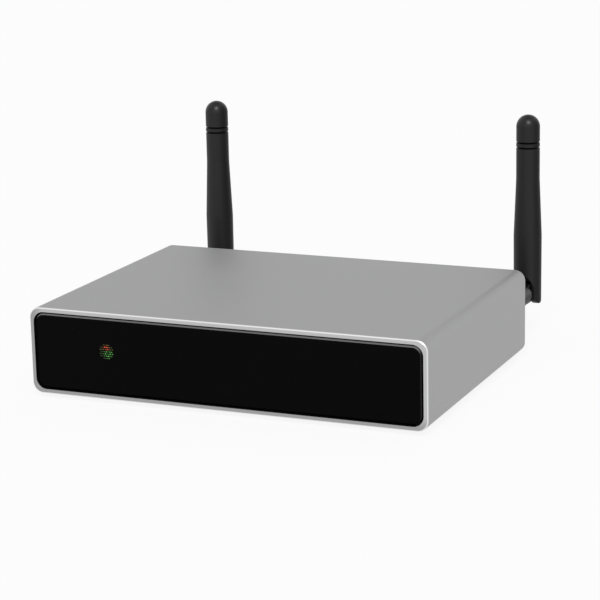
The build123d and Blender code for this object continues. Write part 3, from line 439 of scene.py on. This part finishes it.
def antenna_black(name):
    """Fine matt moulding, smoother on the dome, with painted shade on the sides, the tip and in the
    two grooves.
    """
    base = (0.003, 0.003, 0.0033)
    fine_scale, fine_depth = 4200, 4e-6
    unevenness = 0.12
    smooth, rough = 0.47, 0.55
    dome_polish, dome_turn = 0.22, (0.1, 0.4)
    groove_depths, groove_reach = (0.0122, 0.0145), (0.0003, 0.0005)
    right_shade, right_turn = 0.6, (0.6, 0.92)
    left_shade, left_turn = 0.4, (-0.9, -0.5)
    tip_shade, tip_turn = 0.7, (0.7, 0.95)

    finish = Finish(name, base, level=0.34)
    fine = finish.noise(fine_scale)
    both = finish.mingle(fine, finish.noise(WIDE_SCALE, FINE_DETAIL))

    # The dome and the grooves are found in the whip's own frame, so that they stay when it turns.
    upward = finish.parts_of(finish.node("ShaderNodeTexCoord").outputs["Normal"])["Z"]
    place = finish.parts_of(finish.place)
    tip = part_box("left_whip")[1].z - nodes_by_name["left_whip"].matrix_world.translation.z
    below = finish.minus(tip, place["Z"])
    groove_shades = [
        finish.fall(finish.size_of(finish.minus(below, depth)), *groove_reach)
        for depth in groove_depths
    ]
    # Metallic over the near-black base takes the sheen off the sides, the tip and the grooves:
    # painted shade.
    across = finish.turned("X")
    shade = finish.most(
        finish.spread(across, 0, right_shade, *right_turn),
        finish.spread(across, left_shade, 0, *left_turn),
    )
    shade = finish.most(shade, finish.spread(upward, 0, tip_shade, *tip_turn))
    shade = finish.most(shade, finish.most(*groove_shades))
    finish.join(shade, finish.shader.inputs["Metallic"])
    finish.bump(fine, fine_depth)
    dome = finish.spread(upward, 0, dome_polish, *dome_turn)
    roughness = finish.minus(finish.spread(both, smooth, rough), dome)
    return finish.done(finish.tint(finish.rise(both), unevenness), roughness)


def circuit_green(name):
    """Solder mask with tracks under it and pads between them."""
    mask, track, pad = (0.010, 0.085, 0.03), (0.02, 0.17, 0.055), (0.55, 0.5, 0.32)
    track_scale, track_reach = 420, (0.02, 0.06)
    pad_scale, pad_reach = 260, (0.1, 0.13)
    weave_scale, weave_share = 5200, 0.2
    smooth, rough = 0.24, 0.38
    depth = 1.5e-5

    finish = Finish(name, mask)
    tracks = finish.fall(finish.cells(track_scale, "DISTANCE_TO_EDGE"), *track_reach)
    pads = finish.fall(finish.cells(pad_scale), *pad_reach)
    weave = finish.noise(weave_scale)
    colour = finish.blend(pads, finish.blend(tracks, mask, track), pad)
    finish.bump(finish.plus(tracks, finish.times(weave, weave_share)), depth)
    return finish.done(colour, finish.spread(weave, smooth, rough))


def cluster_middle():
    """The middle of the light cluster on the front panel as (x, z)."""
    low = [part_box(name)[0] for name in LIGHT_GUIDES]
    high = [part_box(name)[1] for name in LIGHT_GUIDES]
    bottom, top = min(corner.z for corner in low), max(corner.z for corner in high)
    return (low[0].x + high[0].x) / 2, (bottom + top) / 2


def lamp(name, colour, glow, rim, offset, reach):
    """Unevenly lit light guides, with a glow round a point and a paler one away from it.

    The point is given by its offset (x, z) from the middle of the cluster, and the reach (start,
    end) says how far from the point the glow gives way.
    """
    level_scale, level_span = 1900, (0.38, 0.66)
    dim_share, strong_share, faint_share = 0.15, 2.8, 0.3
    speck_scale, speck_depth, unevenness = 1500, 1e-5, 0.2
    smooth, rough, speck_end = 0.25, 0.4, 0.8

    finish = Finish(name, colour, level=0.12)
    place = finish.parts_of(finish.place)
    middle_x, middle_z = cluster_middle()
    across = finish.minus(place["X"], middle_x + offset[0])
    upright = finish.minus(place["Z"], middle_z + offset[1])
    squares = finish.plus(finish.times(across, across), finish.times(upright, upright))
    lit = finish.fall(finish.calc("SQRT", squares), *reach)
    level = finish.rise(finish.noise(level_scale, detail=0.0), *level_span)
    away = finish.blend(level, scaled_colour(rim, faint_share), rim)
    near = finish.blend(level, scaled_colour(glow, dim_share), scaled_colour(glow, strong_share))
    finish.join(finish.blend(lit, away, near), finish.shader.inputs["Emission Color"])
    finish.shader.inputs["Emission Strength"].default_value = 1.0
    specks = finish.cells(speck_scale)
    finish.bump(specks, speck_depth)
    roughness = finish.spread(specks, smooth, rough, 0, speck_end)
    return finish.done(finish.tint(specks, unevenness), roughness)


def threaded(name, colour, pitch):
    """Plated metal whose barrel is cut with a thread along Y."""
    fine_scale, fine_share, depth = 2600, 0.1, 1e-4
    unevenness = 0.12
    smooth, rough = 0.2, 0.32

    finish = Finish(name, colour, metallic=1.0)
    turn = finish.times(finish.parts_of(finish.place)["Y"], 2 * math.pi / pitch)
    wave = finish.calc("SINE", turn)
    fine = finish.noise(fine_scale)
    finish.bump(finish.plus(wave, finish.times(fine, fine_share)), depth)
    colour = finish.tint(finish.rise(wave, -1, 1), unevenness)
    return finish.done(colour, finish.spread(fine, smooth, rough))


def zinc_steel(name):
    """Plated steel with fine turning lines; the heads behind the front panel get a near-black
    painted shade.
    """
    plated, head_painted_shade = (0.55, 0.55, 0.56), (0.006, 0.006, 0.006)
    head_shade_start, head_shade_end = CASE_FRONT + 0.004, CASE_FRONT + 0.005
    line_scale, line_stretch = 2200, (1, 0.1, 1)
    unevenness = 0.07
    smooth, rough = 0.26, 0.34

    finish = Finish(name, plated, metallic=1.0)
    lines = finish.noise(line_scale, FINE_DETAIL, line_stretch)
    front = finish.fall(finish.parts_of(finish.place)["Y"], head_shade_start, head_shade_end)
    colour = finish.blend(front, finish.tint(finish.rise(lines), unevenness), head_painted_shade)
    finish.bump(lines, LINE_DEPTH)
    return finish.done(colour, finish.spread(lines, smooth, rough))


# Each material of the record, with the function that makes it and what that is given.
FINISHES = {
    "satin_aluminium": (satin_aluminium, {}),
    "rear_aluminium": (
        brushed, dict(colour=(0.42, 0.42, 0.425), roughness=0.36, stretch=(0.02, 1, 1))
    ),
    "black_acrylic": (black_acrylic, {}),
    "black_moulding": (
        grained, dict(colour=(0.014, 0.014, 0.015), roughness=0.5, scale=3000, depth=1.5e-5)
    ),
    "shutter_black": (grained, dict(colour=(0.02, 0.02, 0.021), roughness=0.42, scale=2200)),
    "antenna_black": (antenna_black, {}),
    "foot_rubber": (
        grained,
        dict(colour=(0.018, 0.018, 0.018), roughness=0.8, scale=1800, amount=0.15, depth=3e-5),
    ),
    "red_lamp": (
        lamp,
        dict(
            colour=(0.01, 0.006, 0.004),
            glow=(0.36, 0.05, 0.025),
            rim=(0.1, 0.095, 0.026),
            offset=(-0.0001, 0.0014),
            reach=(0.0008, 0.0016),
        ),
    ),
    "green_lamp": (
        lamp,
        dict(
            colour=(0.006, 0.01, 0.005),
            glow=(0.06, 0.26, 0.05),
            rim=(0.06, 0.09, 0.024),
            offset=(0.0009, -0.0006),
            reach=(0.0014, 0.0027),
        ),
    ),
    "network_lamp": (
        grained, dict(colour=(0.5, 0.42, 0.2), roughness=0.3, scale=900, amount=0.1)
    ),
    "white_diode": (
        grained, dict(colour=(0.75, 0.72, 0.6), roughness=0.4, scale=1500, amount=0.05)
    ),
    "white_insert": (
        grained, dict(colour=(0.72, 0.72, 0.7), roughness=0.38, scale=2000, amount=0.04)
    ),
    "red_insert": (grained, dict(colour=(0.5, 0.018, 0.014), roughness=0.38, scale=2000)),
    "optical_red": (
        grained,
        dict(colour=(0.32, 0.02, 0.02), roughness=0.12, scale=600, amount=0.1, depth=2e-6),
    ),
    "circuit_green": (circuit_green, {}),
    "capacitor_sleeve": (grained, dict(colour=(0.012, 0.02, 0.05), roughness=0.35, scale=1200)),
    "cable_cream": (
        brushed,
        dict(
            colour=(0.62, 0.58, 0.48),
            roughness=0.5,
            stretch=(1, 0.02, 0.02),
            metallic=0.0,
            scale=1600,
        ),
    ),
    "lead_black": (grained, dict(colour=(0.013, 0.013, 0.013), roughness=0.55)),
    "zinc_steel": (zinc_steel, {}),
    "black_steel": (
        grained, dict(colour=(0.02, 0.02, 0.021), roughness=0.4, metallic=0.6, scale=2600)
    ),
    "nickel": (
        brushed,
        dict(
            colour=(0.6, 0.58, 0.55), roughness=0.24, stretch=(1, 0.08, 1), scale=2600, amount=0.05
        ),
    ),
    "gold_plate": (threaded, dict(colour=(0.75, 0.5, 0.2), pitch=0.0007)),
    "sink_aluminium": (
        brushed,
        dict(
            colour=(0.03, 0.03, 0.032),
            roughness=0.45,
            stretch=(0.05, 1, 1),
            metallic=0.8,
            scale=1500,
        ),
    ),
}


def dress():
    materials = {name: make(name, **given) for name, (make, given) in FINISHES.items()}
    for part in frame["record"]["subparts"]:
        piece = nodes_by_name[part["node"]]
        for slot in piece.material_slots:
            slot.material = materials[part["material_slot"]]


add_camera()
add_world()
add_sun()
add_panel()
add_floor()
bpy.context.scene.view_settings.view_transform = "Standard"
dress()
